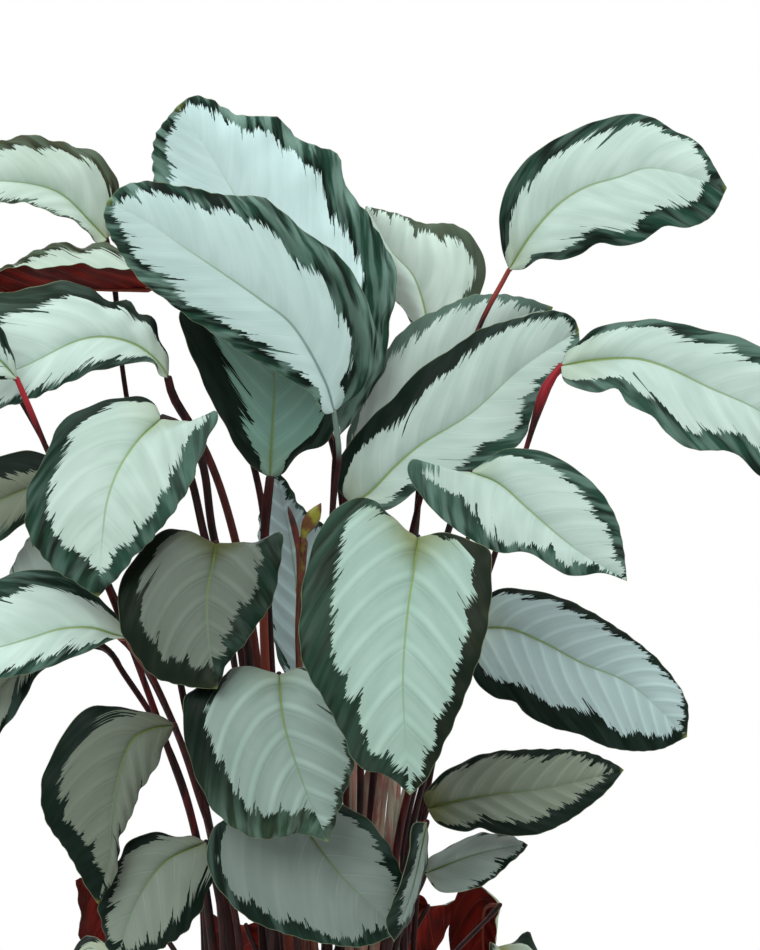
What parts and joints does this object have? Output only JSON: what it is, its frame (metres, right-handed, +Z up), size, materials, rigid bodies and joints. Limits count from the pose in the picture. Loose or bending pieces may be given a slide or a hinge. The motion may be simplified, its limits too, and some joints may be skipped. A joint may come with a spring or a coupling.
{
  "type": "potted calathea picturata",
  "caption": "Potted foliage plant: a clump of oval silver leaves with dark green feathered borders on thin dark red petioles, in soil, in a plain round flower pot.",
  "frame": {"origin": "middle of the pot's flat underside, on the surface that it stands on", "axes": "+Z up along the pot's axis; -Y towards the front, the side the picture shows; +X to the right seen from the front"},
  "size_m": [0.4761, 0.3229, 0.6563],
  "materials": {
    "leaf": "satin",
    "petiole": "satin",
    "young_leaf": "satin",
    "flower_bud": "matte",
    "soil": "matte",
    "perlite": "matte",
    "pot": "matte"
  },
  "bodies": {
    "root": {"pot": "pot", "soil": "soil", "leaf_01": "leaf", "leaf_02": "leaf", "leaf_03": "leaf", "leaf_04": "leaf", "leaf_04b": "leaf", "leaf_05": "leaf", "leaf_06": "leaf", "leaf_07": "leaf", "leaf_08": "leaf", "leaf_09": "leaf", "leaf_10": "leaf", "leaf_11": "leaf", "leaf_12": "leaf", "leaf_13": "leaf", "leaf_14": "leaf", "leaf_15": "leaf", "leaf_16": "leaf", "leaf_17": "leaf", "leaf_18": "leaf", "leaf_19": "leaf", "leaf_20": "leaf", "leaf_21": "leaf", "leaf_22": "leaf", "leaf_23": "leaf", "leaf_24": "leaf", "leaf_25": "leaf", "leaf_26": "leaf", "leaf_27": "leaf", "leaf_28": "leaf", "young_leaf": "young_leaf", "flower_bud": "flower_bud", "back_leaf_01": "leaf", "back_leaf_02": "leaf", "back_leaf_03": "leaf", "back_leaf_04": "leaf", "back_leaf_05": "leaf", "back_leaf_06": "leaf", "back_leaf_07": "leaf", "back_leaf_08": "leaf", "back_leaf_09": "leaf", "right_leaf_01": "leaf", "right_leaf_02": "leaf", "right_leaf_03": "leaf", "right_leaf_04": "leaf", "left_leaf_01": "leaf", "left_leaf_02": "leaf", "left_leaf_03": "leaf", "left_leaf_04": "leaf", "left_leaf_05": "leaf", "low_leaf_01": "leaf", "low_leaf_02": "leaf"}
  },
  "joints": []
}
